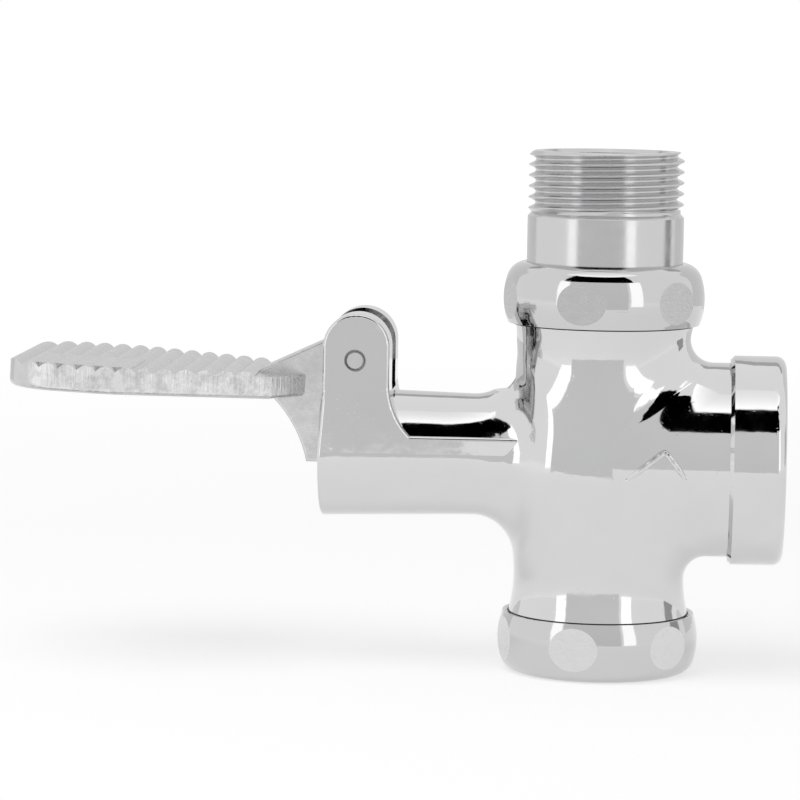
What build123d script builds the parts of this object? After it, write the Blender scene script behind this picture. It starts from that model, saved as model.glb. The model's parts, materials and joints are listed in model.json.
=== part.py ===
from build123d import *
import math
import os

# Foot pedal flush valve. The origin is the centre of the inlet socket's mouth.
# +X points out of that mouth, +Z up along the outlet tail, and the pedal reaches towards -X.
# All lengths are in millimetres and all angles in degrees.

# Gaps of the fits
slip = 0.05
side_play = 0.3
seat_gap = 0.05

# Cast body, measured from the crossing of its two axes
inlet_reach = 39.2
arm_reach = 60.0
waterway_radius = 13.5
barrel_wall = 4.9
upper_shoulder = 28.9
upper_neck = 6.4
upper_waist = 5.4
lower_shoulder = 33.4
lower_neck = 7.4
lower_waist = 5.4
neck_step = 0.9
swell = 2.6
swell_drop = 2.0
branch_fillet = 5.0
collar_step = 1.6
collar_width = 11.8
collar_round = 2.2
collar_edge = 0.8
arm_end_radius = 13.9
arm_taper = 1.5
arm_fillet = 9.0
arm_edge = 0.8

# Inlet: the pipe thread is left at its core diameter
socket_radius = 15.15
socket_depth = 13.0
branch_wall = 5.65
chamber_step = 0.55

# Ears that carry the pedal
ear_width = 14.2
ear_setback = 0.9
ear_rise = 9.9
ear_edge = 0.8
ear_sink = 0.05
ear_flare_height = 12.0
ear_foot_height = 16.0
ear_foot_radius = 16.0
ear_foot_arc = 44.0
ear_hole_chamfer = 0.3
slot_floor_gap = 0.1
pocket_gap = 1.05

# Pivot pin, a little outside the middle of the ears
pin_radius = 2.0
pin_chamfer = 0.3
pin_inset = 0.05
pin_offset = 0.2
boss_radius = 6.2
boss_gap = 0.6

# Push rod
rod_radius = 3.0
button_radius = 4.5
button_thickness = 2.5
button_edge = 0.5
shoulder_step = 0.55
stud_end = 0.8

# Heel of the pedal: its nose presses on the button of the rod
pedal_travel = 12.0
nose_radius = 3.0
nose_lead = 1.5
nose_height = 1.0
heel_back = 11.0

# Return spring and the cup that centres it
spring_wire_radius = 0.6
spring_radius = 5.4
spring_length = 14.0
spring_end_rise = 0.85
spring_end_halves = 2
spring_middle_halves = 7
cup_thickness = 0.8
cup_play = 0.6
cup_skirt = 2.0
cup_clearance = 1.1

# Gland
gland_step = 0.2
gland_length = 6.0
gland_slot_width = 2.0
gland_slot_depth = 1.5
gland_washer_thickness = 1.0
packing_radius = 5.2
ring_count = 2

# Seat and seal
seat_wall = 2.0
seat_bore_radius = 9.0
seat_shank_wall = 1.4
seat_shank_length = 1.9
seat_flange_width = 1.6
seat_flange_thickness = 1.0
seat_lip_inset = 0.8
seat_lip_width = 0.9
seat_lip_height = 0.7
clamp_radius = 6.5
clamp_thickness = 1.2
seal_overlap = 1.1
seal_thickness = 2.0
disc_thickness = 1.6
disc_rim = 0.9
disc_rim_depth = 1.2
lock_washer_radius = 4.4
lock_washer_thickness = 0.8
lock_washer_split = 0.8
nut_across_flats = 8.0
nut_thickness = 3.2
nut_sides = 6

# Outlet tail
tail_radius = 16.7
tail_bore_radius = 13.0
tail_plain_length = 13.1
thread_length = 13.25
thread_radius = 16.62
thread_chamfer = 1.0
groove_width = 0.9
groove_depth = 0.7
flange_clearance = 0.9
flange_thickness = 2.2
tail_gasket_thickness = 1.8
tail_mouth_chamfer = 0.8

# Union nut and bottom cap share one outline
nut_wall = 1.25
nut_bulge = 0.95
nut_belly_height = 5.4
nut_shoulder_gain = 0.25
nut_shoulder_drop = 3.0
nut_ceiling = 2.6
nut_lip = 0.9
nut_flat_depth = 0.66
nut_flat_count = 6
union_nut_turn = -12.0
bottom_cap_turn = -13.0
cap_gasket_thickness = 2.0
cap_floor = 3.3
cap_round = 3.0
cap_round_height = 2.5
cap_mouth_chamfer = 0.7

# Pedal casting
web_thickness = 9.4
web_edge = 0.6
web_back_radius = 26.7
web_back_start = 1.5
web_top_end = 4.8
root_reach = 17.6
root_drop = 8.55
root_half_width = 15.2
root_back = 6.2
root_back_half_width = 4.6
tread_tilt = 2.5
tread_length = 56.25
tread_thickness = 4.8
tread_half_width = 27.7
tread_shoulder = 33.0
shoulder_round = 22.0
tip_draw_in = 0.3
tip_bow = 1.4
tip_round = 12.0
tread_edge = 1.2
rib_pitch = 4.05
rib_height = 1.0
rib_start = 3.55
pad_inset = 5.2
pad_length = 22.4
pad_inner = 3.0
pad_width = 21.0
pad_corner = 2.0
pad_sink = 0.15

# Places and radii that follow from the sizes above
valve_x = -inlet_reach
upright = Plane(origin=(valve_x, 0, 0), x_dir=(1, 0, 0), z_dir=(0, -1, 0))
upright_axis = Axis((valve_x, 0, 0), (0, 0, 1))
barrel_radius = waterway_radius + barrel_wall
neck_radius = barrel_radius + neck_step
upper_rim = upper_shoulder + upper_neck
lower_rim = lower_shoulder + lower_neck
swell_radius = barrel_radius + swell
branch_radius = socket_radius + branch_wall
collar_radius = branch_radius + collar_step
chamber_radius = socket_radius - chamber_step

arm_end_x = valve_x - arm_reach
ear_left = arm_end_x + ear_setback
ear_middle = ear_left + ear_width / 2
ear_right = ear_left + ear_width
slot_floor = arm_end_radius + slot_floor_gap
slot_width = web_thickness + 2 * side_play
pin_x = ear_middle - pin_offset
pin_height = slot_floor + boss_gap + boss_radius
pin_plane = Plane(origin=(pin_x, 0, pin_height), x_dir=(1, 0, 0), z_dir=(0, -1, 0))
ear_top = pin_height + ear_rise
ear_arc_height = ear_top - ear_width / 2

stroke = (pin_height - nose_height) * math.radians(pedal_travel)
nose_x = pin_x - nose_lead
button_x = nose_x + nose_radius + slip
cup_x = button_x + button_thickness
spring_x = cup_x + cup_thickness
gland_x = spring_x + spring_length
packing_x = gland_x + gland_length + gland_washer_thickness
ring_section = packing_radius - rod_radius - 2 * slip
guide_x = packing_x + ring_count * (ring_section + slip)
cup_bore = spring_radius + spring_wire_radius + cup_play
cup_radius = cup_bore + cup_thickness
rod_bore_radius = cup_radius + cup_clearance
gland_radius = rod_bore_radius - gland_step

seat_x = valve_x + waterway_radius + seat_wall
seat_shank_radius = seat_bore_radius + seat_shank_wall
seat_lip_radius = seat_bore_radius + seat_lip_inset
lip_x = seat_x + seat_flange_thickness + seat_lip_height
stud_radius = rod_radius - shoulder_step
seal_x = lip_x + seat_gap
seal_radius = seat_lip_radius + seal_overlap
shoulder_x = seal_x - clamp_thickness
disc_x = seal_x + seal_thickness
disc_radius = seal_radius + slip + disc_rim
lock_washer_x = disc_x + disc_thickness
nut_x = lock_washer_x + lock_washer_thickness
stud_x = nut_x + nut_thickness + stud_end

gasket_top = upper_rim + tail_gasket_thickness
flange_top = gasket_top + flange_thickness
flange_radius = neck_radius - flange_clearance
thread_foot = flange_top + tail_plain_length
groove_radius = thread_radius - groove_depth
tail_top = thread_foot + thread_length
nut_foot_radius = neck_radius + nut_wall
nut_belly_radius = nut_foot_radius + nut_bulge
nut_top = flange_top + nut_ceiling
cap_floor_z = -lower_rim - cap_gasket_thickness
cap_bottom = cap_floor_z - cap_floor
nut_shoulder_radius = nut_foot_radius + nut_shoulder_gain


def arm_radius(x):
    """Outside radius of the arm, which draws in from its end towards the barrel."""
    return arm_end_radius - (x - arm_end_x) * math.tan(math.radians(arm_taper))


def axial_ring(x, length, inner, outer, mode=Mode.ADD):
    """A plain ring on the rod's axis, from x towards +X."""
    with BuildSketch(Plane.XZ) as section:
        with Locations((x, inner)):
            Rectangle(length, outer - inner, align=(Align.MIN, Align.MIN))
    revolve(section.sketch, axis=Axis.X, mode=mode)


def upright_ring(z, height, inner, outer, mode=Mode.ADD):
    """A plain ring on the upright axis, from z upwards."""
    with BuildSketch(upright) as section:
        with Locations((inner, z)):
            Rectangle(outer - inner, height, align=(Align.MIN, Align.MIN))
    revolve(section.sketch, axis=upright_axis, mode=mode)


def mill_flats(z_low, height, turn):
    """Mills the flats of a nut, equally spaced from an angle off the front."""
    flat_distance = nut_belly_radius - nut_flat_depth
    with BuildSketch(Plane(origin=(valve_x, 0, z_low), z_dir=(0, 0, 1))) as cutters:
        with PolarLocations(flat_distance + nut_belly_radius / 2, nut_flat_count, start_angle=turn - 90):
            Rectangle(nut_belly_radius, 2 * nut_belly_radius)
    extrude(cutters.sketch, amount=height, mode=Mode.SUBTRACT)


def rims(part, radius):
    """The circular edges of one radius, sorted along +X."""
    circles = part.edges().filter_by(GeomType.CIRCLE)
    return circles.filter_by(lambda e: abs(e.radius - radius) < slip / 5).sort_by(Axis.X)


# The two ears as one block. Their flat cheeks run on along the arm as a low strip.
with BuildPart() as ears:
    with BuildSketch(Plane.XZ):
        with BuildLine():
            foot = JernArc((ear_right, ear_foot_height), (0, -1), ear_foot_radius, ear_foot_arc)
            strip_top = (foot @ 1).Y
            Polyline(foot @ 1, (valve_x, strip_top), (valve_x, 0), (arm_end_x, 0), (ear_left, ear_flare_height),
                     (ear_left, ear_arc_height))
            ThreePointArc((ear_left, ear_arc_height), (ear_middle, ear_top), (ear_right, ear_arc_height))
            Line((ear_right, ear_arc_height), (ear_right, ear_foot_height))
        make_face()
    extrude(amount=arm_end_radius, both=True)
    with BuildSketch(Plane.XY):
        with BuildLine():
            left_half = arm_radius(arm_end_x) - ear_sink
            right_half = arm_radius(valve_x) - ear_sink
            Polyline((arm_end_x, -left_half), (valve_x, -right_half), (valve_x, right_half),
                     (arm_end_x, left_half), close=True)
        make_face()
    extrude(amount=ear_top + ear_width, mode=Mode.INTERSECT)
    cheeks = ears.faces().sort_by(Axis.Y)
    cheek_edges = cheeks[0].edges() + cheeks[-1].edges()
    fillet(cheek_edges.filter_by(lambda e: e.center().Z > ear_edge), radius=ear_edge)

# Valve body: barrel with its swell between two waists, then arm, branch with its collar, and the ears
with BuildPart() as valve_body:
    with BuildSketch(upright):
        with BuildLine():
            side = Spline((neck_radius, -lower_shoulder), (barrel_radius, lower_waist - lower_shoulder),
                          (swell_radius, -swell_drop), (barrel_radius, upper_shoulder - upper_waist),
                          (neck_radius, upper_shoulder))
            Polyline(side @ 1, (neck_radius, upper_rim), (0, upper_rim), (0, -lower_rim),
                     (neck_radius, -lower_rim), side @ 0)
        make_face()
    revolve(axis=upright_axis)
    with BuildSketch(Plane.XZ):
        with BuildLine():
            Polyline((arm_end_x, 0), (arm_end_x, arm_radius(arm_end_x)), (valve_x, arm_radius(valve_x)),
                     (valve_x, 0), close=True)
        make_face()
    revolve(axis=Axis.X)
    fillet(valve_body.edges(Select.NEW), radius=arm_fillet)
    with BuildSketch(Plane.XZ):
        with BuildLine():
            Polyline((valve_x, 0), (valve_x, branch_radius), (-collar_width, branch_radius),
                     (-collar_width, collar_radius), (0, collar_radius), (0, 0), close=True)
        make_face()
    revolve(axis=Axis.X)
    fillet(valve_body.edges(Select.NEW), radius=branch_fillet)
    fillet(rims(valve_body, collar_radius)[-1], radius=collar_round)
    chamfer(rims(valve_body, collar_radius)[0], length=collar_edge)
    fillet(rims(valve_body, arm_end_radius)[0], radius=arm_edge)
    add(ears.part)
    # Waterway through the barrel, inlet chamber and the hole that holds the seat ring
    upright_ring(-lower_rim, lower_rim + upper_rim, 0, waterway_radius, Mode.SUBTRACT)
    axial_ring(-socket_depth, socket_depth, 0, socket_radius, Mode.SUBTRACT)
    axial_ring(seat_x, -socket_depth - seat_x, 0, chamber_radius, Mode.SUBTRACT)
    axial_ring(valve_x, seat_x - valve_x, 0, seat_shank_radius + slip, Mode.SUBTRACT)
    # Stepped bore of the arm: spring and gland, packing, and the guide of the rod
    axial_ring(arm_end_x, gland_x - arm_end_x, 0, rod_bore_radius, Mode.SUBTRACT)
    axial_ring(gland_x, gland_length, 0, gland_radius + slip, Mode.SUBTRACT)
    axial_ring(gland_x + gland_length, guide_x - gland_x - gland_length, 0, packing_radius + slip, Mode.SUBTRACT)
    axial_ring(guide_x, valve_x - guide_x, 0, rod_radius + slip, Mode.SUBTRACT)
    # Slot between the ears, and the pocket that lets the heel swing into the arm
    pocket_length = nose_x + nose_radius + stroke + pocket_gap - arm_end_x
    with BuildSketch(Plane.XZ):
        with Locations((arm_end_x, slot_floor)):
            Rectangle(valve_x - arm_end_x - barrel_radius, ear_top, align=(Align.MIN, Align.MIN))
        with Locations((arm_end_x, 0)):
            Rectangle(pocket_length, ear_top, align=(Align.MIN, Align.MIN))
    extrude(amount=slot_width / 2, both=True, mode=Mode.SUBTRACT)
    # Hole for the pivot pin
    with BuildSketch(pin_plane):
        Circle(pin_radius + slip / 2)
    extrude(amount=arm_end_radius, both=True, mode=Mode.SUBTRACT)
    hole_rims = valve_body.edges(Select.LAST).sort_by(Axis.Y)
    chamfer([hole_rims[0], hole_rims[-1]], length=ear_hole_chamfer)
valve_body.part.label = "valve_body"

# Seat ring, pushed into the wall between the inlet chamber and the barrel
with BuildPart() as seat_ring:
    axial_ring(seat_x - seat_shank_length, seat_shank_length, seat_bore_radius, seat_shank_radius)
    axial_ring(seat_x, seat_flange_thickness, seat_bore_radius, seat_shank_radius + seat_flange_width)
    axial_ring(seat_x + seat_flange_thickness, seat_lip_height, seat_lip_radius - seat_lip_width / 2,
               seat_lip_radius + seat_lip_width / 2)
    fillet(seat_ring.edges().filter_by(GeomType.CIRCLE).group_by(Axis.X)[-1], radius=seat_lip_width / 3)
seat_ring.part.label = "seat_ring"

# Outlet tail with its flange, plain barrel, run-out groove and thread land
with BuildPart() as outlet_tail:
    with BuildSketch(upright):
        with BuildLine():
            Polyline((tail_bore_radius, gasket_top), (flange_radius, gasket_top), (flange_radius, flange_top),
                     (tail_radius, flange_top), (tail_radius, thread_foot - groove_depth),
                     (groove_radius, thread_foot), (groove_radius, thread_foot + groove_width),
                     (thread_radius, thread_foot + groove_width), (thread_radius, tail_top - thread_chamfer),
                     (thread_radius - thread_chamfer, tail_top), (tail_bore_radius + tail_mouth_chamfer, tail_top),
                     (tail_bore_radius, tail_top - tail_mouth_chamfer), close=True)
        make_face()
    revolve(axis=upright_axis)
outlet_tail.part.label = "outlet_tail"

with BuildPart() as tail_gasket:
    upright_ring(upper_rim, tail_gasket_thickness, waterway_radius, flange_radius)
tail_gasket.part.label = "tail_gasket"

# Union nut: a barrel outline with a domed shoulder that holds the flange of the tail
with BuildPart() as tail_union_nut:
    with BuildSketch(upright):
        with BuildLine():
            side = ThreePointArc((nut_foot_radius, upper_shoulder),
                                 (nut_belly_radius, upper_shoulder + nut_belly_height),
                                 (nut_shoulder_radius, nut_top - nut_shoulder_drop))
            dome = TangentArc(side @ 1, (tail_radius + nut_lip, nut_top), tangent=side % 1)
            Polyline(dome @ 1, (tail_radius + slip, nut_top), (tail_radius + slip, flange_top),
                     (neck_radius + slip, flange_top), (neck_radius + slip, upper_shoulder), side @ 0)
        make_face()
    revolve(axis=upright_axis)
    mill_flats(upper_shoulder, nut_top - upper_shoulder, union_nut_turn)
tail_union_nut.part.label = "tail_union_nut"

# Bottom cap: the same outline upside down, closed and with a rounder base
with BuildPart() as bottom_cap:
    with BuildSketch(upright):
        with BuildLine():
            side = ThreePointArc((nut_foot_radius, -lower_shoulder),
                                 (nut_belly_radius, -lower_shoulder - nut_belly_height),
                                 (nut_shoulder_radius, cap_bottom + cap_round_height))
            base = TangentArc(side @ 1, (nut_foot_radius - cap_round, cap_bottom), tangent=side % 1)
            Polyline(base @ 1, (0, cap_bottom), (0, cap_floor_z), (neck_radius + slip, cap_floor_z),
                     (neck_radius + slip, -lower_shoulder - cap_mouth_chamfer),
                     (neck_radius + slip + cap_mouth_chamfer, -lower_shoulder), side @ 0)
        make_face()
    revolve(axis=upright_axis)
    mill_flats(cap_bottom, -lower_shoulder - cap_bottom, bottom_cap_turn)
bottom_cap.part.label = "bottom_cap"

with BuildPart() as cap_gasket:
    upright_ring(cap_floor_z, cap_gasket_thickness, waterway_radius, neck_radius - slip)
cap_gasket.part.label = "cap_gasket"

# Pivot pin, flush with both cheeks
with BuildPart() as pivot_pin:
    with BuildSketch(pin_plane):
        Circle(pin_radius)
    extrude(amount=arm_radius(pin_x) - ear_sink - pin_inset, both=True)
    chamfer(pivot_pin.edges().filter_by(GeomType.CIRCLE), length=pin_chamfer)
pivot_pin.part.label = "pivot_pin"

# Gland: slotted nut, washer and the rings round the rod
with BuildPart() as gland_nut:
    axial_ring(gland_x, gland_length, rod_radius + slip, gland_radius)
    with BuildSketch(Plane.YZ.offset(gland_x)):
        Rectangle(2 * gland_radius, gland_slot_width)
    extrude(amount=gland_slot_depth, mode=Mode.SUBTRACT)
gland_nut.part.label = "gland_nut"

with BuildPart() as gland_washer:
    axial_ring(gland_x + gland_length, gland_washer_thickness, rod_radius + slip, packing_radius)
gland_washer.part.label = "gland_washer"

with BuildPart() as rod_seals:
    for ring in range(ring_count):
        ring_x = packing_x + (ring + 0.5) * (ring_section + slip)
        with BuildSketch(Plane.XZ) as section:
            with Locations((ring_x, rod_radius + slip + ring_section / 2)):
                Circle(ring_section / 2)
        revolve(section.sketch, axis=Axis.X)
rod_seals.part.label = "rod_seals"

# Push rod with its button and threaded stud
with BuildPart() as push_rod:
    with BuildSketch(Plane.XZ):
        with BuildLine():
            Polyline((button_x, 0), (button_x, button_radius), (cup_x, button_radius), (cup_x, rod_radius),
                     (shoulder_x, rod_radius), (shoulder_x, stud_radius), (stud_x, stud_radius), (stud_x, 0),
                     close=True)
        make_face()
    revolve(axis=Axis.X)
    fillet(rims(push_rod, button_radius)[0], radius=button_edge)
push_rod.part.label = "push_rod"

with BuildPart() as spring_cup:
    axial_ring(cup_x, cup_thickness, rod_radius + slip, cup_radius)
    axial_ring(cup_x, cup_skirt, cup_bore, cup_radius)
spring_cup.part.label = "spring_cup"

# Return spring: each half turn is a half circle in a leaning plane, so the turns meet in line
wound_length = spring_length - 2 * spring_wire_radius - 2 * slip
middle_rise = (wound_length - 2 * spring_end_halves * spring_end_rise) / spring_middle_halves
end_rises = [spring_end_rise] * spring_end_halves
rises = end_rises + [middle_rise] * spring_middle_halves + end_rises
coil_points = []
with BuildPart() as return_spring:
    with BuildLine() as coil:
        turn_x = spring_x + slip + spring_wire_radius
        side = 1
        for rise in rises:
            bow = side * math.hypot(spring_radius, rise / 2)
            half_turn = ThreePointArc((turn_x, 0, side * spring_radius), (turn_x + rise / 2, bow, 0),
                                      (turn_x + rise, 0, -side * spring_radius))
            coil_points += [half_turn @ (step / 12) for step in range(12)]
            turn_x += rise
            side = -side
    with BuildSketch(Plane(origin=coil.line @ 0, z_dir=coil.line % 0)):
        Circle(spring_wire_radius)
    sweep()
return_spring.part.label = "return_spring"
coil_gap = min((here - there).length for index, here in enumerate(coil_points)
               for there in coil_points[index + 12:]) - 2 * spring_wire_radius
print("least gap between the turns of the spring:", round(coil_gap, 3), "mm")

# Seal stack on the stud
with BuildPart() as clamp_washer:
    axial_ring(shoulder_x, clamp_thickness, stud_radius + slip, clamp_radius)
clamp_washer.part.label = "clamp_washer"

with BuildPart() as seat_seal:
    axial_ring(seal_x, seal_thickness, stud_radius + slip, seal_radius)
seat_seal.part.label = "seat_seal"

with BuildPart() as valve_disc:
    axial_ring(disc_x, disc_thickness, stud_radius + slip, disc_radius)
    axial_ring(disc_x - disc_rim_depth, disc_rim_depth, seal_radius + slip, disc_radius)
valve_disc.part.label = "valve_disc"

with BuildPart() as lock_washer:
    axial_ring(lock_washer_x, lock_washer_thickness, stud_radius + slip, lock_washer_radius)
    with BuildSketch(Plane.YZ.offset(lock_washer_x)):
        Rectangle(lock_washer_radius, lock_washer_split, align=(Align.MIN, Align.CENTER))
    extrude(amount=lock_washer_thickness, mode=Mode.SUBTRACT)
lock_washer.part.label = "lock_washer"

with BuildPart() as disc_nut:
    with BuildSketch(Plane.YZ.offset(nut_x)):
        RegularPolygon(nut_across_flats / 2, nut_sides, major_radius=False)
        Circle(stud_radius + slip, mode=Mode.SUBTRACT)
    extrude(amount=nut_thickness)
disc_nut.part.label = "disc_nut"

# Pedal: the tread leans up towards its tip, so it is drawn on planes of its own
lean = math.radians(tread_tilt)
along = Vector(-math.cos(lean), 0, math.sin(lean))
above = Vector(math.sin(lean), 0, math.cos(lean))
root = Vector(pin_x - root_reach, 0, pin_height - root_drop)
crest = tread_thickness + rib_height
rib_count = int((tread_length - rib_start) / rib_pitch)
pad_start = tread_length - pad_inset - pad_length


def on_tread(distance, height):
    """The X and Z of a point at a distance along the tread and a height over its underside."""
    point = root + along * distance + above * height
    return (point.X, point.Z)


# Web in the slot of the ears, from the round boss to the heel and its nose
top_end = on_tread(web_top_end, tread_thickness)
boss_reach = math.dist(top_end, (pin_x, pin_height))
boss_turn = math.degrees(math.atan2(top_end[1] - pin_height, top_end[0] - pin_x) % (2 * math.pi)
                         - math.acos(boss_radius / boss_reach))
front_x = nose_x + nose_radius
front_turn = -math.degrees(math.acos((front_x - pin_x) / boss_radius))
with BuildPart() as web:
    with BuildSketch(Plane.XZ):
        with BuildLine():
            boss = CenterArc((pin_x, pin_height), boss_radius, front_turn, boss_turn - front_turn)
            back_start = on_tread(web_back_start, 0)
            back_end = (pin_x - heel_back, nose_height - nose_radius)
            Polyline(boss @ 1, top_end, on_tread(web_top_end, tread_thickness / 2), back_start)
            RadiusArc(back_start, back_end, web_back_radius)
            Line(back_end, (nose_x, nose_height - nose_radius))
            CenterArc((nose_x, nose_height), nose_radius, -90, 90)
            Line((front_x, nose_height), boss @ 0)
        make_face()
    extrude(amount=web_thickness / 2, both=True)
    web_sides = web.faces().sort_by(Axis.Y)
    fillet(web_sides[0].edges() + web_sides[-1].edges(), radius=web_edge)

with BuildPart() as pedal_lever:
    # Plan of the tread, rounded along its underside
    with BuildSketch(Plane(origin=root, x_dir=along, z_dir=above)) as plan:
        with BuildLine():
            tip_half = tread_half_width - tip_draw_in
            for edge in (-1, 1):
                Polyline((-root_back, edge * root_back_half_width), (0, edge * root_half_width),
                         (tread_shoulder, edge * tread_half_width), (tread_length - tip_bow, edge * tip_half))
            ThreePointArc((tread_length - tip_bow, -tip_half), (tread_length, 0), (tread_length - tip_bow, tip_half))
            Line((-root_back, -root_back_half_width), (-root_back, root_back_half_width))
        make_face()
        fillet(plan.vertices().sort_by(Axis.X)[-4:-2], radius=shoulder_round)
        fillet(plan.vertices().sort_by(Axis.X)[-2:], radius=tip_round)
    extrude(amount=crest)
    underside = pedal_lever.faces().sort_by(Axis((0, 0, 0), above))[0]
    fillet(underside.edges(), radius=tread_edge)
    # Row of rounded ribs across the tread, cut from its side
    with BuildSketch(Plane(origin=root, x_dir=along, z_dir=(0, 1, 0))):
        with BuildLine():
            for rib in range(rib_count):
                near = rib_start + rib * rib_pitch
                ThreePointArc((near, tread_thickness), (near + rib_pitch / 2, crest),
                              (near + rib_pitch, tread_thickness))
            Polyline((rib_start + rib_count * rib_pitch, tread_thickness), (tread_length, tread_thickness),
                     (tread_length, 0), (-root_back, 0), (-root_back, tread_thickness),
                     (rib_start, tread_thickness))
        make_face()
    extrude(amount=tread_half_width, both=True, mode=Mode.INTERSECT)
    # Smooth pad across some of the ribs, towards the near side, just under their crests
    with BuildSketch(Plane(origin=root, x_dir=along, z_dir=above)) as pad:
        with Locations((pad_start, pad_inner)):
            Rectangle(pad_length, pad_width, align=(Align.MIN, Align.MIN))
        fillet(pad.vertices(), radius=pad_corner)
    extrude(amount=crest - pad_sink)
    add(web.part)
    with BuildSketch(pin_plane):
        Circle(pin_radius + slip)
    extrude(amount=web_thickness, both=True, mode=Mode.SUBTRACT)
pedal_lever.part.label = "pedal_lever"

pieces = [valve_body, outlet_tail, tail_union_nut, bottom_cap, pedal_lever, pivot_pin, tail_gasket, cap_gasket,
          seat_ring, push_rod, spring_cup, return_spring, gland_nut, gland_washer, rod_seals, clamp_washer,
          seat_seal, valve_disc, lock_washer, disc_nut]
os.makedirs("parts", exist_ok=True)
for piece in pieces:
    export_step(piece.part, f"parts/{piece.part.label}.step")
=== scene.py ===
import json
import math

import bpy
import numpy as np
from mathutils import Matrix, Vector


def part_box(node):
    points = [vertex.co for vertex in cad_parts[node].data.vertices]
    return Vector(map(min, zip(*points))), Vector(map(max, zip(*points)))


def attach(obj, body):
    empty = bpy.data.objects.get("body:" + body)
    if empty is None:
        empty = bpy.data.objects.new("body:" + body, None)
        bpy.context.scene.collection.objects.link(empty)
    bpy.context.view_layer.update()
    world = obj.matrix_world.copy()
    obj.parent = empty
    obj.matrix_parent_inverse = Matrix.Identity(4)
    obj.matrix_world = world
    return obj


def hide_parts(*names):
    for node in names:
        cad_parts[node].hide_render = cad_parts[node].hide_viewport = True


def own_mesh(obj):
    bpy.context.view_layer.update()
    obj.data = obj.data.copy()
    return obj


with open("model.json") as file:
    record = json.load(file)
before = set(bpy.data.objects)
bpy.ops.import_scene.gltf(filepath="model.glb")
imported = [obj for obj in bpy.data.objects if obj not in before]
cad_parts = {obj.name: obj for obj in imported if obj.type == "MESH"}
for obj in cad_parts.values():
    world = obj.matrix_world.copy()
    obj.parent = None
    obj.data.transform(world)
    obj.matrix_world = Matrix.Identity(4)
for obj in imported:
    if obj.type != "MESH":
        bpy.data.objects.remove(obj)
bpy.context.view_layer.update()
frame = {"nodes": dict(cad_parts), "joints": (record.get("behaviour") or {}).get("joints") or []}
nodes = frame["nodes"]

MM = 0.001

# Camera of the photograph, in the frame of the part
CAMERA_AZIMUTH = math.radians(3.933)
CAMERA_ELEVATION = math.radians(5.723)
CAMERA_ROLL = math.radians(-0.904)
CAMERA_DISTANCE = 827.16 * MM
CAMERA_TARGET = Vector((-82.643, 0, 11.286)) * MM
CAMERA_FOCAL_PIXELS = 3839.6
CAMERA_CLIP = (0.05, 30.0)
IMAGE_PIXELS = 800
SENSOR_WIDTH = 36.0

# Colours of the metals and the rubber
CHROME = (0.68, 0.68, 0.685)
CHROME_DARK = (0.64, 0.64, 0.645)
NUT_CHROME = (0.60, 0.60, 0.605)
NUT_FLAT = (0.58, 0.58, 0.58)
CAP_FLAT = (0.70, 0.70, 0.70)
TAIL_CHROME = (0.60, 0.60, 0.605)
PEDAL_DARK = (0.44, 0.44, 0.44)
PEDAL_LIGHT = (0.73, 0.73, 0.73)
BRIGHT_STEEL = (0.66, 0.66, 0.67)
PIN_STEEL = (0.66, 0.66, 0.66)
SPRING_STEEL = (0.52, 0.52, 0.54)
BRASS = (0.76, 0.58, 0.28)
RUBBER_DARK = (0.022, 0.022, 0.024)
RUBBER_LIGHT = (0.045, 0.045, 0.047)

# Roughness of each finish, at its brightest and at its dullest
CASTING_GLOSS = (0.035, 0.09)
NUT_GLOSS = (0.04, 0.09)
FLAT_GLOSS = (0.18, 0.30)
PEDAL_GLOSS = (0.16, 0.30)
FILED_GLOSS = (0.14, 0.30)
RUBBER_GLOSS = (0.45, 0.7)
RUBBER_SPECULAR = 0.25

# Spans of noise that are spread over the whole range of a finish
NOISE_WIDE = (0.3, 0.7)
NOISE_MIDDLE = (0.35, 0.65)
NOISE_UPPER = (0.35, 0.7)
STAIN_SPAN = (0.3, 0.75)
PIT_SPAN = (0.70, 0.78)

# Turned metal: the shade of its stains, and its gloss as shares of its roughness
STAIN_SHADE = 0.93
STAIN_GLOSS = (0.8, 1.5)

# Nuts: degrees from the front to one of the flats, how nearly a surface must face the same way as a flat to
# be a part of it, and the turning lines with the patches of noise in which they show
NUT_TURN = -12.0
CAP_TURN = -13.0
FLAT_STEP = math.radians(60)
FLAT_TILT = 0.004
FLAT_SWING = 0.012
TURNING_PITCH = 0.9 * MM
TURNING_SPAN = (0.4, 0.65)
TURNING_STRENGTH = (0.15, 1.0)

# Pedal: the distance from its middle over which its web ends, the X over which its front end turns dull, how
# far the filed edges and root face sideways and back, and what each of these adds to the roughness or, as
# painted light that makes the web's faces lighter, to the colour
WEB_END = (11 * MM, 14 * MM)
WEB_PAINTED_LIFT = 0.3
FRONT_END = (-140 * MM, -120 * MM)
FRONT_DULLNESS = 0.12
EDGE_SIDEWAYS = (0.75, 0.9)
ROOT_SIDEWAYS = (0.40, 0.48)
ROOT_BACK = (0.70, 0.80)
ROOT_DULLNESS = 0.2
BLOTCH_SPAN = (0.38, 0.58)
BLOTCH_SHADE = (0.55, 1.15)
STROKE_LEAN = math.radians(55)
STROKE_SCALE = (1500, 300, 160)

# Places on the part, and the turns of the points in each ring round one of its axes
VALVE_X = -39.2 * MM
FLOOR_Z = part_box("bottom_cap")[0].z
RING_POINTS = 144
RING_ANGLES = np.arange(RING_POINTS) * 2 * math.pi / RING_POINTS

# One inch pipe thread, 11 turns to the inch
THREAD_PITCH = 2.309 * MM
THREAD_DEPTH = 1.48 * MM
THREAD_RADIUS = 16.62 * MM
THREAD_SHARPNESS = 1.25
THREAD_ROWS_PER_TURN = 18

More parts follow.
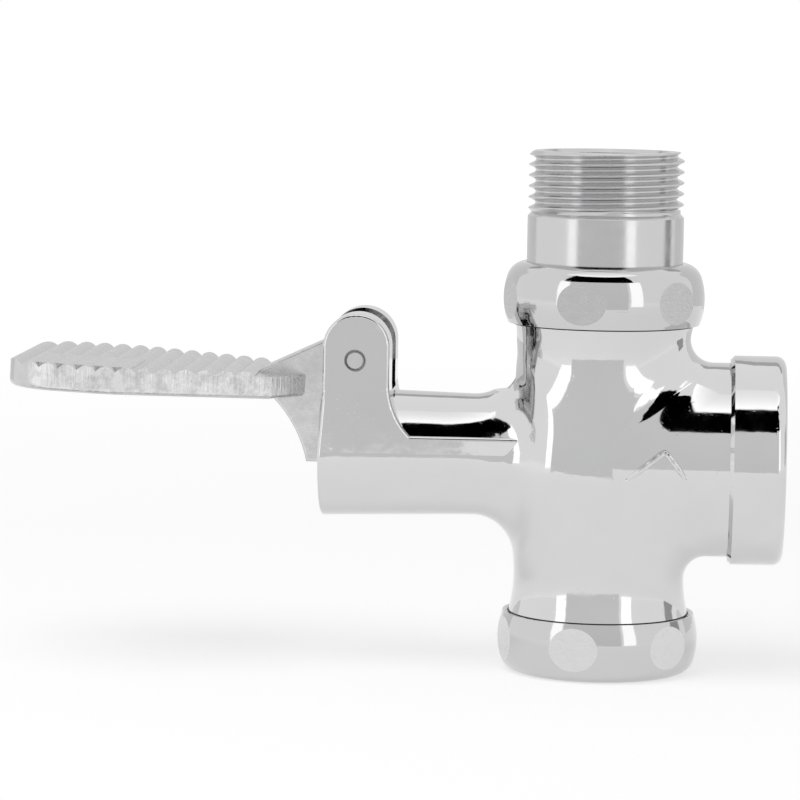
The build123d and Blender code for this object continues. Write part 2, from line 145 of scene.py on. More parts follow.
# Outlet tail: heights and radii
TAIL_FOOT, TAIL_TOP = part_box("outlet_tail")[0].z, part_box("outlet_tail")[1].z
TAIL_FLANGE_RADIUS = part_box("outlet_tail")[1].x - VALVE_X
TAIL_RADIUS = 16.7 * MM
TAIL_BORE_RADIUS = 13.0 * MM
TAIL_FLANGE = 2.2 * MM
TAIL_GROOVE_RADIUS = 15.92 * MM
TAIL_GROOVE_FOOT = 51.7 * MM
TAIL_THREAD_FOOT = 53.3 * MM
TAIL_END_CHAMFER = 1.0 * MM
TAIL_MOUTH_CHAMFER = 0.8 * MM
TAIL_CREST_HEIGHT = 64.87 * MM

# Inlet socket, along X from its bottom to its mouth. The thread's back lies inside the wall of the bore.
SOCKET_RADIUS = 15.15 * MM
SOCKET_BOTTOM, SOCKET_MOUTH = -12.9 * MM, -0.3 * MM
SOCKET_RIDGE = 0.6 * MM
SOCKET_SINK = 0.04 * MM
SOCKET_BACK = 0.3 * MM
SOCKET_LEAD_IN = 1.8 * MM
SOCKET_RUN_OUT = 2.6 * MM

# Return spring: its wire, and the rise of each half turn at its closed ends
SPRING_WIRE_RADIUS = 0.6 * MM
SPRING_END_RISE = 0.85 * MM
SPRING_END_HALVES = 2
SPRING_HALVES = 11

# Painted shade: thin black rings in the crevices at the nuts and round the pin, where shade falls. The one at
# the union nut hangs a little under it and off the neck.
NECK_RADIUS = 19.3 * MM
NUT_SHADE_RING_WIDTH = 0.5 * MM
NUT_SHADE_RING_DROP = 0.1 * MM
CAP_SHADE_RING_WIDTH = 0.3 * MM
PIN_SHADE_RING_WIDTH = 0.11 * MM

# Raised casting mark on the front of the branch: its line as X past the valve's axis and Z, in millimetres,
# the rows over which its ends taper, counted from a little outside it, and how much its height wanders
BRANCH_RADIUS = 20.8 * MM
MARK_POINTS = ((5.7, -2.6), (9.6, 0.4), (13.0, 3.1), (13.7, 3.4), (14.4, 3.0), (16.4, 0.5), (18.2, -2.1))
MARK_WIDTH = 1.5 * MM
MARK_HEIGHT = 0.6 * MM
MARK_TAPER_ROWS = 6
MARK_END_ROWS = 0.6
MARK_WANDER = 0.25
MARK_WAVES = (1.9, 0.7)

# Barrel and arm of the casting, for the wide saddles between them and the branch. The bore, which lies deeper
# than its skin, has none.
BARREL_WAIST = 18.4 * MM
BARREL_SWELL = 2.6 * MM
SWELL_Z = -2.0 * MM
SWELL_SPREAD = 13.5 * MM
ARM_RADIUS = 13.9 * MM
ARM_END_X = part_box("valve_body")[0].x
ARM_SLOPE = math.tan(math.radians(1.5))
SKIN_DEPTH = 9 * MM

# Each saddle: its wide and its tight radius, the least share of its reach, the share of its height that is
# taken, and the distance from the valve's axis over which it fades in
BRANCH_SADDLE = {"wide": 14 * MM, "tight": 5 * MM, "least": 0.06}
BRANCH_SADDLE_SHARE = 0.5
BRANCH_SADDLE_FADE = 7 * MM
ARM_SADDLE = {"wide": 18 * MM, "tight": 9 * MM, "least": 0.35}
ARM_SADDLE_SHARE = 0.36
ARM_SADDLE_FADE = 5 * MM

# Studio: the levels of its light and its floor, and the distances over which the floor's glow changes
STUDIO_CENTRE = Vector((-60 * MM, 0, 0))
STUDIO_RADIUS = 0.75
WALL_RADIUS = 0.40
WORLD_LIGHT = 0.5
LAMP_POWER = 4.0
LAMP_SIZE = 0.9
LAMP_AZIMUTH, LAMP_ELEVATION, LAMP_DISTANCE = -35, 62, 1.1
FLOOR_COLOR = (0.55, 0.55, 0.55)
FLOOR_REACH = 6.0
FLOOR_FADE = (0.25, 1.2)
FLOOR_GLOW = (0.58, 0.76)

# Studio cards: azimuths off the front and elevations in degrees, levels at foot and top, and distance
CARDS = {
    "card_wall": ((-38, 31), (-6.4, 36), (0.76, 0.80), WALL_RADIUS),
    "card_dark_top": ((-50, 40), (36, 62), (0.0, 0.0), STUDIO_RADIUS),
    "card_strip_left": ((-54, -40), (-60, 36), (1.6, 1.6), STUDIO_RADIUS),
    "card_strip_right": ((33, 47), (-60, 36), (1.6, 1.6), STUDIO_RADIUS),
    "card_top": ((-75, 75), (63, 92), (1.6, 1.1), STUDIO_RADIUS),
    "card_back": ((122, 238), (-60, 36), (0.74, 0.80), STUDIO_RADIUS),
    "card_back_top": ((140, 215), (36, 46), (0.5, 0.5), STUDIO_RADIUS),
    "card_edge_left": ((-134, -120), (-70, -4.5), (0.25, 0.25), STUDIO_RADIUS),
    "card_edge_right": ((98, 112), (-70, 12), (0.4, 0.4), STUDIO_RADIUS),
}
CARD_COLUMNS, CARD_ROWS = 8, 6

# Sockets of a Mix node that mixes colours, which share their names with its other sockets
MIX_FIRST, MIX_SECOND, MIX_RESULT = 6, 7, 2


class Field:
    """A number, a place or a direction that varies over a surface. Arithmetic on it adds shader nodes."""

    def __init__(self, socket):
        self.socket = socket
        self.tree = socket.id_data

    def step(self, operation, *others):
        """One step of arithmetic, with this number as its first."""
        inputs = dict(enumerate((self, *others)))
        return Field(add_node(self.tree, "ShaderNodeMath", inputs, operation=operation).outputs[0])

    def __add__(self, other):
        return self.step("ADD", other)

    def __sub__(self, other):
        return self.step("SUBTRACT", other)

    def __rsub__(self, other):
        return self.step("MULTIPLY_ADD", -1.0, other)

    def __mul__(self, other):
        return self.step("MULTIPLY", other)

    def __truediv__(self, other):
        return self.step("DIVIDE", other)

    def __abs__(self):
        return self.step("ABSOLUTE")

    def squared(self):
        return self * self

    def root(self):
        return self.step("SQRT")

    def at_least(self, other):
        return self.step("MAXIMUM", other)

    def at_most(self, other):
        return self.step("MINIMUM", other)

    def above(self, limit):
        """1 where the number is over a limit, and 0 elsewhere."""
        return self.step("GREATER_THAN", limit)

    def below(self, limit):
        """1 where the number is under a limit, and 0 elsewhere."""
        return self.step("LESS_THAN", limit)

    def spread(self, span, onto=(0.0, 1.0)):
        """Maps a span of numbers onto another one and keeps them there."""
        inputs = {"Value": self, "From Min": span[0], "From Max": span[1],
                  "To Min": onto[0], "To Max": onto[1]}
        return Field(add_node(self.tree, "ShaderNodeMapRange", inputs).outputs["Result"])

    def parts(self):
        """X, Y and Z of the place or direction."""
        split = add_node(self.tree, "ShaderNodeSeparateXYZ", {"Vector": self})
        return [Field(output) for output in split.outputs]

    def noise(self, scale, detail=3.0, roughness=0.5):
        """Noise over the place, with its scale counted per metre."""
        inputs = {"Vector": self, "Scale": scale, "Detail": detail, "Roughness": roughness}
        return Field(add_node(self.tree, "ShaderNodeTexNoise", inputs).outputs["Fac"])

    def lines(self, pitch):
        """Noise along one direction, as uneven lines about a pitch apart."""
        inputs = {"W": self, "Scale": 1 / pitch, "Detail": 3.0}
        return Field(add_node(self.tree, "ShaderNodeTexNoise", inputs, noise_dimensions="1D").outputs["Fac"])


def feed(node, inputs):
    """Sets inputs of a shader node, each to a plain value or to a field."""
    for key, value in inputs.items():
        if isinstance(value, Field):
            node.id_data.links.new(value.socket, node.inputs[key])
        else:
            node.inputs[key].default_value = value


def add_node(tree, kind, inputs, **settings):
    """Adds a shader node with its settings and inputs."""
    node = tree.nodes.new(kind)
    for key, value in settings.items():
        setattr(node, key, value)
    feed(node, inputs)
    return node


def surface(shader, output):
    """The place on the object in metres, as Object, or the direction that its surface faces, as Normal."""
    return Field(add_node(shader.id_data, "ShaderNodeTexCoord", {}).outputs[output])


def blend(share, first, second):
    """The first number where the share is 0, and the second where it is 1."""
    return Field(add_node(share.tree, "ShaderNodeMix", {"Factor": share, "A": first, "B": second}).outputs[0])


def bump(height, depth, strength=1.0, below=None):
    """A bump of a height from 0 to 1, whose full height is the depth, over the one below it."""
    inputs = {"Height": height, "Distance": depth, "Strength": strength}
    if below is not None:
        inputs["Normal"] = below
    return Field(add_node(height.tree, "ShaderNodeBump", inputs).outputs["Normal"])


def tint(shader, share, dark, light, beyond=False):
    """Varies the base colour from dark at 0 to light at 1, and past them where beyond is set."""
    inputs = {"Factor": share, MIX_FIRST: (*dark, 1), MIX_SECOND: (*light, 1)}
    mix = add_node(shader.id_data, "ShaderNodeMix", inputs, data_type="RGBA", clamp_factor=not beyond)
    feed(shader, {"Base Color": Field(mix.outputs[MIX_RESULT])})


def new_material(name, color, metallic, roughness):
    """A material and its shader."""
    material = bpy.data.materials.new(name)
    material.use_nodes = True
    shader = material.node_tree.nodes["Principled BSDF"]
    feed(shader, {"Base Color": (*color, 1), "Metallic": metallic, "Roughness": roughness})
    return material, shader


def glow(shader, level):
    """Takes the gloss off a material and makes it shine white at a level."""
    feed(shader, {"Specular IOR Level": 0.0, "Emission Color": (1, 1, 1, 1), "Emission Strength": level})


def saddle(barrel_gap, limb_gap, across, wide, tight, least):
    """Height that widens the rounded corner between the barrel and a limb from a tight radius to a wide one.

    The gaps are the distances outside the barrel and the limb. across is 0 where both surfaces face the same
    way and 1 where they meet squarely. The corner's reach shrinks with it, down to the least share.
    """
    slope = (wide - tight) / math.sqrt(wide ** 2 - (wide - tight) ** 2)
    reach = across * (1 - least) + least
    apart = abs(barrel_gap - limb_gap) / reach
    inward = (wide - apart.at_least(tight)).at_least(0.0)
    outer = wide - (wide ** 2 - inward.squared()).root()
    near = apart.at_most(tight).squared()
    bend = (1.0 - near * (0.5 / tight ** 2)).step("LOGARITHM", math.e) + math.log(2)
    return outer + bend * (slope * tight / 2)


def casting_saddles(where):
    """Height of the soft hand-ground saddles between the barrel, the branch and the arm."""
    x, y, z = where.parts()
    off = x - VALVE_X
    bell = (((z - SWELL_Z) / SWELL_SPREAD).squared() * -1.0).step("EXPONENT")
    from_barrel_axis = (off.squared() + y.squared()).root()
    from_limb_axis = (y.squared() + z.squared()).root()
    barrel_gap = from_barrel_axis - (bell * BARREL_SWELL + BARREL_WAIST)
    branch_gap = from_limb_axis - BRANCH_RADIUS
    arm_gap = from_limb_axis - ((x - ARM_END_X) * ARM_SLOPE + ARM_RADIUS)
    across = (1.0 - y.squared() / (from_barrel_axis * from_limb_axis)).at_least(0.0)
    branch = saddle(barrel_gap, branch_gap, across, **BRANCH_SADDLE) * (across * BRANCH_SADDLE_SHARE)
    branch = branch * off.spread((0.0, BRANCH_SADDLE_FADE))
    arm = saddle(barrel_gap, arm_gap, across, **ARM_SADDLE) * ARM_SADDLE_SHARE
    arm = arm * off.spread((-ARM_SADDLE_FADE, 0.0), (1.0, 0.0))
    outside = barrel_gap.at_most(branch_gap).at_most(arm_gap).above(-SKIN_DEPTH)
    return (branch + arm) * outside


def chrome_casting(with_saddles=False):
    """Polished plate over a casting: mirror bright, a little wavy, with a few fine pits."""
    material, shader = new_material("chrome_casting", CHROME, metallic=1.0, roughness=0.05)
    where = surface(shader, "Object")
    tint(shader, where.noise(90, detail=2), CHROME_DARK, CHROME)
    haze = where.noise(240, detail=4).spread(NOISE_UPPER, CASTING_GLOSS)
    flow = bump(casting_saddles(where), 1.0) if with_saddles else None
    waves = bump(where.noise(70, detail=1), 0.10 * MM, strength=0.35, below=flow)
    waves = bump(where.noise(190, detail=2, roughness=0.6), 0.035 * MM, strength=0.7, below=waves)
    pits = where.noise(1700, detail=1).spread(PIT_SPAN, (1.0, 0.0))
    feed(shader, {"Roughness": haze, "Normal": bump(pits, 0.02 * MM, strength=0.3, below=waves)})
    return material


def chrome_nut(turn, flat_color):
    """Polished plate with matt flats, one of which is turned so many degrees off the front."""
    material, shader = new_material("chrome_nut", NUT_CHROME, metallic=1.0, roughness=0.05)
    where = surface(shader, "Object")
    facing_x, facing_y, facing_z = surface(shader, "Normal").parts()
    heading = facing_y.step("ARCTAN2", facing_x)
    swing = (heading - math.radians(turn - 90)).step("WRAP", FLAT_STEP / 2, -FLAT_STEP / 2)
    flat = abs(facing_z).below(FLAT_TILT) * abs(swing).below(FLAT_SWING)
    tint(shader, flat, NUT_CHROME, flat_color)
    matt = where.noise(420).spread(NOISE_WIDE, FLAT_GLOSS)
    shine = where.noise(240, detail=4).spread(NOISE_UPPER, NUT_GLOSS)
    waves = bump(where.noise(80, detail=1), 0.08 * MM, strength=0.3)
    height = where.parts()[2]
    patches = where.noise(110, detail=2).spread(TURNING_SPAN, TURNING_STRENGTH)
    waves = bump(height.lines(TURNING_PITCH) * patches, 0.03 * MM, strength=0.8, below=waves)
    sparkle = where.noise(2600, roughness=0.7) * flat
    feed(shader, {"Roughness": blend(flat, shine, matt),
                  "Normal": bump(sparkle, 0.05 * MM, strength=0.8, below=waves)})
    return material


def turned(name, color, roughness, pitch, depth, axis):
    """Turned metal with fine rings about an axis, which is 0 for X, 1 for Y and 2 for Z."""
    material, shader = new_material(name, color, metallic=1.0, roughness=roughness)
    where = surface(shader, "Object")
    stains = where.noise(300, detail=4)
    tint(shader, stains, tuple(STAIN_SHADE * part for part in color), color)
    scratches = bump(where.noise(900), 0.01 * MM, strength=0.3)
    rings = where.parts()[axis].lines(pitch)
    gloss = [share * roughness for share in STAIN_GLOSS]
    feed(shader, {"Roughness": stains.spread(STAIN_SPAN, gloss),
                  "Normal": bump(rings, depth, strength=0.5, below=scratches)})
    return material


def cast_pedal():
    """Satin plate over a rough casting, with file marks on the edges of the tread and at its root. The root
    is painted lighter as a painted reflection, and the web's faces are painted lighter.
    """
    material, shader = new_material("cast_pedal", PEDAL_LIGHT, metallic=1.0, roughness=0.2)
    where = surface(shader, "Object")
    x, y, _ = where.parts()
    facing_x, facing_y, _ = surface(shader, "Normal").parts()
    upright = abs(facing_y).spread(EDGE_SIDEWAYS)
    edge = upright * abs(y).spread(WEB_END)
    web = upright - edge
    root = abs(facing_y).spread(ROOT_SIDEWAYS) * facing_x.spread(ROOT_BACK)
    filed = edge.at_least(root)
    skin = where.noise(260, detail=5, roughness=0.6)
    blotches = where.noise(420, detail=4, roughness=0.6).spread(BLOTCH_SPAN, BLOTCH_SHADE)
    # Painted light: the root is painted lighter as a painted reflection of the bright ear cheeks, and the
    # web's upright faces are painted lighter too
    tone_and_painted_light = skin.at_least(filed * blotches) + root + web * WEB_PAINTED_LIFT
    tint(shader, tone_and_painted_light, PEDAL_DARK, PEDAL_LIGHT, beyond=True)
    cast_gloss = skin.spread(NOISE_MIDDLE, PEDAL_GLOSS)
    filed_gloss = where.noise(700).spread(NOISE_MIDDLE, FILED_GLOSS) + root * ROOT_DULLNESS
    filed_gloss = filed_gloss + x.spread(FRONT_END, (FRONT_DULLNESS, 0.0))
    lumps = bump(where.noise(150, detail=2), 0.35 * MM, strength=0.4)
    grain = bump(where.noise(900, detail=4, roughness=0.6), 0.06 * MM, strength=0.5, below=lumps)
    mapping = {"Vector": where, "Rotation": (0, STROKE_LEAN, 0), "Scale": STROKE_SCALE}
    leaning = Field(add_node(shader.id_data, "ShaderNodeMapping", mapping).outputs[0])
    strokes = leaning.noise(1.0, roughness=0.6)
    feed(shader, {"Roughness": blend(filed, cast_gloss, filed_gloss),
                  "Normal": bump(strokes * filed, 0.35 * MM, strength=0.9, below=grain)})
    return material


def plain_rubber():
    """Moulded rubber with a fine grain."""
    material, shader = new_material("black_rubber", RUBBER_DARK, metallic=0.0, roughness=0.55)
    grain = surface(shader, "Object").noise(1200)
    tint(shader, grain, RUBBER_DARK, RUBBER_LIGHT)
    feed(shader, {"Roughness": grain.spread(NOISE_WIDE, RUBBER_GLOSS), "Specular IOR Level": RUBBER_SPECULAR,
                  "Normal": bump(grain, 0.02 * MM, strength=0.5)})
    return material


def dress(name, material):
    """Gives a CAD node its finish."""
    mesh = nodes[name].data
    mesh.materials.clear()
    mesh.materials.append(material)


def add_object(name, data):
    """A new object in the scene."""
    item = bpy.data.objects.new(name, data)
    bpy.context.scene.collection.objects.link(item)
    return item


def new_mesh(name, vertices, faces, material):
    """A mesh of one material."""
    mesh = bpy.data.meshes.new(name)
    mesh.from_pydata([tuple(vertex) for vertex in vertices], [], faces)
    mesh.materials.append(material)
    return mesh


def grid_faces(rows, columns, around=True, closed=False):
    """Faces between rows of points.

    With around, the ends of each row join. With closed, the last row joins the first.
    """
    faces = []
    for row in range(rows if closed else rows - 1):
        here, there = row * columns, (row + 1) % rows * columns
        for column in range(columns if around else columns - 1):
            beside = (column + 1) % columns
            faces.append((here + column, here + beside, there + beside, there + column))
    return faces


def add_piece(name, vertices, faces, body, material):
    """A new smooth piece of the part, riding on a body."""
    mesh = new_mesh(name, vertices, faces, material)
    mesh.validate()
    mesh.shade_smooth()
    piece = add_object(name, mesh)
    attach(piece, body)
    return piece


def lathe(name, rings, sharp, body, material):
    """A closed solid of rings of points, each joined to the next and the last to the first.

    The rings named in sharp keep a sharp edge.
    """
    columns = len(rings[0])
    faces = grid_faces(len(rings), columns, closed=True)
    piece = add_piece(name, np.concatenate(rings), faces, body, material)
    for edge in piece.data.edges:
        first, second = edge.vertices
        if first // columns == second // columns and first // columns in sharp:
            edge.use_edge_sharp = True
    return piece


def upright_ring(radius, height):
    """A ring of points round the valve's upright axis. The radius may vary round it."""
    across, deep = radius * np.cos(RING_ANGLES), radius * np.sin(RING_ANGLES)
    return np.stack((VALVE_X + across, deep, np.full_like(across, height)), axis=1)


def level_ring(radius, x):
    """A ring of points round the axis of the inlet socket. The radius may vary round it."""
    across, up = radius * np.cos(RING_ANGLES), radius * np.sin(RING_ANGLES)
    return np.stack((np.full_like(across, x), across, up), axis=1)


def thread_ridge(along):
    """Height from 0 to 1 of a right-handed thread, all round, at a distance along it."""
    turns = along / THREAD_PITCH - RING_ANGLES / (2 * math.pi)
    return (0.5 + 0.5 * np.cos(2 * math.pi * turns)) ** THREAD_SHARPNESS


def tail_thread_radius(height):
    """Radius of the right-handed thread round the tail at one height, cut by the chamfer of its end."""
    ridge = thread_ridge(height - TAIL_CREST_HEIGHT + THREAD_PITCH / 2)
    radius = THREAD_RADIUS - THREAD_DEPTH * (1 - ridge)
    cone = THREAD_RADIUS - TAIL_END_CHAMFER + (TAIL_TOP - height)
    return np.minimum(radius, cone)


def make_tail(material):
    """The outlet tail with its turns of thread, in place of the plain one."""
    profile = [(TAIL_BORE_RADIUS, TAIL_TOP - TAIL_MOUTH_CHAMFER), (TAIL_BORE_RADIUS, TAIL_FOOT),
               (TAIL_FLANGE_RADIUS, TAIL_FOOT), (TAIL_FLANGE_RADIUS, TAIL_FOOT + TAIL_FLANGE),
               (TAIL_RADIUS, TAIL_FOOT + TAIL_FLANGE), (TAIL_RADIUS, TAIL_GROOVE_FOOT),
               (TAIL_GROOVE_RADIUS, TAIL_GROOVE_FOOT + TAIL_RADIUS - TAIL_GROOVE_RADIUS)]
    rings = [upright_ring(radius, height) for radius, height in profile]
    sharp = set(range(len(rings)))
    rows = round((TAIL_TOP - TAIL_THREAD_FOOT) / THREAD_PITCH * THREAD_ROWS_PER_TURN)
    for row in range(rows + 1):
        height = TAIL_THREAD_FOOT + (TAIL_TOP - TAIL_THREAD_FOOT) * row / rows
        radius = tail_thread_radius(height)
        if row == 0:
            radius = np.maximum(radius, TAIL_GROOVE_RADIUS)
        rings.append(upright_ring(radius, height))
    sharp.update((len(rings) - 1, len(rings)))
    rings.append(upright_ring(TAIL_BORE_RADIUS + TAIL_MOUTH_CHAMFER, TAIL_TOP))
    tail = lathe("outlet_tail_threaded", rings, sharp, "valve", material)
    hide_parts("outlet_tail")


def make_inlet_thread(material):
    """The turns of thread inside the inlet socket, on the wall of its bore."""
    length = SOCKET_MOUTH - SOCKET_BOTTOM
    rows = round(length / THREAD_PITCH * THREAD_ROWS_PER_TURN)
    rings = []
    for row in range(rows + 1):
        x = SOCKET_BOTTOM + length * row / rows
        rise = min(1.0, (SOCKET_MOUTH - x) / SOCKET_LEAD_IN, (x - SOCKET_BOTTOM) / SOCKET_RUN_OUT)
        rings.append(level_ring(SOCKET_RADIUS + SOCKET_SINK - SOCKET_RIDGE * rise * thread_ridge(x), x))
    for x in (SOCKET_MOUTH, SOCKET_BOTTOM):
        rings.append(level_ring(SOCKET_RADIUS + SOCKET_BACK, x))
    lathe("inlet_thread", rings, {0, rows, rows + 1, rows + 2}, "valve", material)


def make_mark(material, steps=8, across=7):
    """A low rounded ridge on the front of the branch, in the shape of a plain chevron."""
    points = []
    for (x0, z0), (x1, z1) in zip(MARK_POINTS, MARK_POINTS[1:]):
        points += [(x0 + (x1 - x0) * step / steps, z0 + (z1 - z0) * step / steps) for step in range(steps)]
    points = np.array(points + [MARK_POINTS[-1]]) * MM
    ahead = np.gradient(points, axis=0)
    ahead /= np.linalg.norm(ahead, axis=1)[:, None]
    sideways = np.stack((-ahead[:, 1], ahead[:, 0]), axis=1)
    rows = len(points)
    vertices = []
    for row in range(rows):
        from_end = min(row + MARK_END_ROWS, rows - 1 - row + MARK_END_ROWS)
        taper = min(1.0, from_end / MARK_TAPER_ROWS)
        wander = 1 + MARK_WANDER * math.sin(MARK_WAVES[0] * row) * math.sin(MARK_WAVES[1] * row + 1)
        for column in range(across):
            share = 2 * column / (across - 1) - 1
            x, z = points[row] + sideways[row] * share * MARK_WIDTH / 2 * (0.5 + 0.5 * taper)
            height = MARK_HEIGHT * taper * wander * math.sqrt(max(0.0, 1 - share * share))
            sink = MARK_WIDTH / 4 if abs(share) == 1 else 0.0
            out = math.sqrt(BRANCH_RADIUS ** 2 - z ** 2) + height - sink
            vertices.append((VALVE_X + x, -out, z))
    faces = grid_faces(rows, across)
    faces.append(tuple(range(across)))
    faces.append(tuple(range(rows * across - 1, (rows - 1) * across - 1, -1)))
    add_piece("casting_mark", vertices, faces, "valve", material)


def make_spring(material, steps=16, sides=12):
    """The return spring, a coil of wire that rides on the push rod."""
    low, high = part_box("return_spring")
    radius = high.y - SPRING_WIRE_RADIUS
    start, end = low.x + SPRING_WIRE_RADIUS, high.x - SPRING_WIRE_RADIUS
    ends = SPRING_END_HALVES * SPRING_END_RISE
    halves = np.linspace(0, SPRING_HALVES, SPRING_HALVES * steps + 1)
    x = np.interp(halves, (0, SPRING_END_HALVES, SPRING_HALVES - SPRING_END_HALVES, SPRING_HALVES),
                  (start, start + ends, end - ends, end))
    outward = np.stack((0 * x, np.sin(math.pi * halves), np.cos(math.pi * halves)), axis=1)
    centre = radius * outward
    centre[:, 0] = x
    ahead = np.gradient(centre, axis=0)
    ahead /= np.linalg.norm(ahead, axis=1)[:, None]
    beside = np.cross(ahead, outward)
    vertices = []
    for point, out, side in zip(centre, outward, beside):
        for turn in range(sides):
            angle = 2 * math.pi * turn / sides
            vertices.append(point + SPRING_WIRE_RADIUS * (math.cos(angle) * out + math.sin(angle) * side))
    faces = grid_faces(len(x), sides)
    faces.append(tuple(range(sides - 1, -1, -1)))
    faces.append(tuple(range(len(vertices) - sides, len(vertices))))
    spring = add_piece("return_spring_coil", vertices, faces, "push_rod", material)
    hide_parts("return_spring")
    slide = next(joint for joint in frame["joints"] if joint["name"] == "push_rod_slide")
    keep = 1 - slide["range_m"][1] / (high.x - low.x)
    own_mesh(spring)


def make_shade_ring(name, centre, axis, radius, width, material, sides=8):
    """Painted shade: a thin black ring in the corner where two pieces of the valve meet, where shade falls,
    round an axis.
    """
    across = axis.orthogonal().normalized()
    beside = axis.cross(across)
    rings = []
    for side in range(sides):
        turn = 2 * math.pi * side / sides
        out = radius + width / 2 * math.cos(turn)
        middle = centre + axis * (width / 2 * math.sin(turn))
        rings.append([middle + out * (across * math.cos(angle) + beside * math.sin(angle))
                      for angle in RING_ANGLES])
    lathe(name, rings, set(), "valve", material)


def make_shade_rings(material):
    """Painted shade rings under the union nut, over the bottom cap and round both ends of the pin."""
    upward, frontward = Vector((0, 0, 1)), Vector((0, -1, 0))
    nut_foot = Vector((VALVE_X, 0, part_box("tail_union_nut")[0].z - NUT_SHADE_RING_DROP))
    make_shade_ring("nut_shade_ring", nut_foot, upward, NECK_RADIUS + NUT_SHADE_RING_DROP, NUT_SHADE_RING_WIDTH, material)
    cap_top = Vector((VALVE_X, 0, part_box("bottom_cap")[1].z))
    make_shade_ring("cap_shade_ring", cap_top, upward, NECK_RADIUS, CAP_SHADE_RING_WIDTH, material)
    near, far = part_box("pivot_pin")
    middle = (near + far) / 2
    radius = (far.x - near.x) / 2
    for name, end in (("pin_shade_ring_near", near), ("pin_shade_ring_far", far)):
        make_shade_ring(name, Vector((middle.x, end.y, middle.z)), frontward, radius, PIN_SHADE_RING_WIDTH, material)


def background_rays(tree):
    """1 for rays of the camera, of gloss and of clear materials, which see the plain background."""
    path = add_node(tree, "ShaderNodeLightPath", {}).outputs
    camera, gloss, clear = (Field(path[name]) for name in
                            ("Is Camera Ray", "Is Glossy Ray", "Is Transmission Ray"))
    return camera.at_least(gloss).at_least(clear)


def make_world():
    """A white background with a soft even light."""
    world = bpy.data.worlds.new("studio")
    bpy.context.scene.world = world
    world.use_nodes = True
    background = world.node_tree.nodes["Background"]
    level = background_rays(world.node_tree).spread((0, 1), (WORLD_LIGHT, 1.0))
    feed(background, {"Color": (1, 1, 1, 1), "Strength": level})


def make_floor():
    """A pale floor that fades into the white background and keeps the shadow."""
    material, shader = new_material("pale_floor", FLOOR_COLOR, metallic=0.0, roughness=0.9)
    places = {0: surface(shader, "Object"), 1: STUDIO_CENTRE}
    distance = add_node(shader.id_data, "ShaderNodeVectorMath", places, operation="DISTANCE")
    level = Field(distance.outputs["Value"]).spread(FLOOR_FADE, FLOOR_GLOW)
    glow(shader, background_rays(shader.id_data) * level)
    corners = [(x * FLOOR_REACH, y * FLOOR_REACH, FLOOR_Z) for x, y in ((-1, -1), (1, -1), (1, 1), (-1, 1))]
    add_object("floor", new_mesh("floor", corners, [(0, 1, 2, 3)], material))


def studio_point(azimuth, elevation, radius):
    """A place round the part, at degrees off the front towards +X and over the horizon."""
    a, e = math.radians(azimuth), math.radians(elevation)
    outward = Vector((math.sin(a) * math.cos(e), -math.cos(a) * math.cos(e), math.sin(e)))
    return STUDIO_CENTRE + radius * outward


def make_card(name, azimuths, elevations, levels, radius):
    """A studio card, curved round the part, that shows only in its gloss."""
    vertices = []
    for row in range(CARD_ROWS + 1):
        for column in range(CARD_COLUMNS + 1):
            azimuth = azimuths[0] + (azimuths[1] - azimuths[0]) * column / CARD_COLUMNS
            elevation = elevations[0] + (elevations[1] - elevations[0]) * row / CARD_ROWS
            vertices.append(studio_point(azimuth, elevation, radius))
    faces = grid_faces(CARD_ROWS + 1, CARD_COLUMNS + 1, around=False)
    material, shader = new_material(name, (0, 0, 0), metallic=0.0, roughness=1.0)
    if levels[0] == levels[1]:
        glow(shader, levels[0])
    else:
        heights = [radius * math.sin(math.radians(elevation)) for elevation in elevations]
        glow(shader, surface(shader, "Object").parts()[2].spread(heights, levels))
    panel = add_object(name, new_mesh(name, vertices, faces, material))
    panel.visible_camera = False
    panel.visible_diffuse = False
    panel.visible_shadow = False
    panel.visible_transmission = False


def make_lamp():
    """A soft overhead light, which polished metal doesn't reflect."""
    data = bpy.data.lights.new("overhead", "AREA")
    data.shape = "DISK"
    data.size = LAMP_SIZE
    data.energy = LAMP_POWER
    lamp = add_object("overhead", data)
    lamp.location = studio_point(LAMP_AZIMUTH, LAMP_ELEVATION, LAMP_DISTANCE)
    lamp.rotation_mode = "QUATERNION"
    lamp.rotation_quaternion = (STUDIO_CENTRE - lamp.location).to_track_quat("-Z", "Y")
    lamp.visible_glossy = False


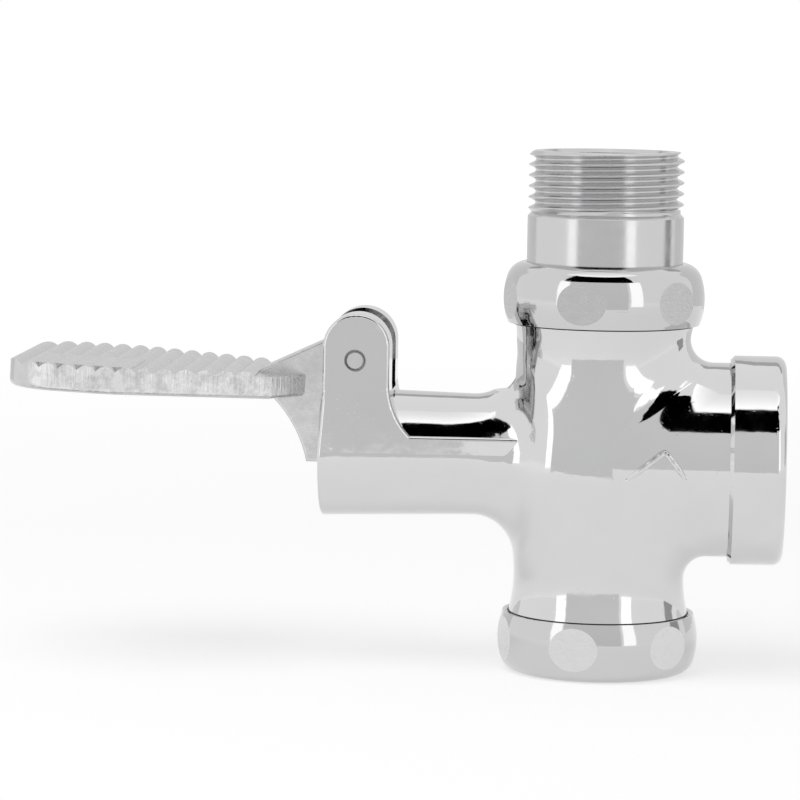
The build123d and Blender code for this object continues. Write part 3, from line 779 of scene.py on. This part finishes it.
def make_camera():
    """The camera of the photograph."""
    data = bpy.data.cameras.new("camera")
    data.sensor_width = SENSOR_WIDTH
    data.lens = CAMERA_FOCAL_PIXELS / IMAGE_PIXELS * SENSOR_WIDTH
    data.clip_start, data.clip_end = CAMERA_CLIP
    camera = add_object("camera", data)
    sin_a, cos_a = math.sin(CAMERA_AZIMUTH), math.cos(CAMERA_AZIMUTH)
    sin_e, cos_e = math.sin(CAMERA_ELEVATION), math.cos(CAMERA_ELEVATION)
    forward = Vector((-sin_a * cos_e, cos_a * cos_e, -sin_e))
    level_right = Vector((cos_a, sin_a, 0))
    level_up = level_right.cross(forward)
    right = math.cos(CAMERA_ROLL) * level_right - math.sin(CAMERA_ROLL) * level_up
    up = math.sin(CAMERA_ROLL) * level_right + math.cos(CAMERA_ROLL) * level_up
    turn = Matrix((right, up, -forward)).transposed()
    camera.matrix_world = Matrix.Translation(CAMERA_TARGET - CAMERA_DISTANCE * forward) @ turn.to_4x4()
    bpy.context.scene.camera = camera


# Finishes of the CAD nodes
polished = chrome_casting()
tail_metal = turned("satin_tail", TAIL_CHROME, roughness=0.16, pitch=0.16 * MM, depth=0.006 * MM, axis=2)
socket_metal = turned("satin_socket", TAIL_CHROME, roughness=0.15, pitch=0.16 * MM, depth=0.006 * MM, axis=0)
bright_steel = turned("bright_steel", BRIGHT_STEEL, roughness=0.16, pitch=0.12 * MM, depth=0.005 * MM, axis=0)
spring_wire = turned("spring_wire", SPRING_STEEL, roughness=0.22, pitch=0.2 * MM, depth=0.004 * MM, axis=0)
brass = turned("turned_brass", BRASS, roughness=0.2, pitch=0.12 * MM, depth=0.006 * MM, axis=0)
pin_steel = turned("pin_steel", PIN_STEEL, roughness=0.18, pitch=0.1 * MM, depth=0.004 * MM, axis=1)
rubber = plain_rubber()

dress("valve_body", chrome_casting(with_saddles=True))
dress("outlet_tail", tail_metal)
dress("tail_union_nut", chrome_nut(NUT_TURN, NUT_FLAT))
dress("bottom_cap", chrome_nut(CAP_TURN, CAP_FLAT))
dress("pedal_lever", cast_pedal())
dress("pivot_pin", pin_steel)
for name in ("push_rod", "spring_cup"):
    dress(name, bright_steel)
for name in ("return_spring", "lock_washer"):
    dress(name, spring_wire)
for name in ("seat_ring", "gland_nut", "gland_washer", "clamp_washer", "valve_disc", "disc_nut"):
    dress(name, brass)
for name in ("tail_gasket", "cap_gasket", "rod_seals", "seat_seal"):
    dress(name, rubber)

# Pieces that the CAD model lacks or has in a plain form
make_tail(tail_metal)
make_inlet_thread(socket_metal)
make_mark(polished)
make_spring(spring_wire)
# Painted shade: thin black rings of the rubber finish in the crevices between parts
make_shade_rings(rubber)

# Studio
make_world()
make_floor()
make_lamp()
for name, settings in CARDS.items():
    make_card(name, *settings)
make_camera()
bpy.context.scene.view_settings.view_transform = "Standard"
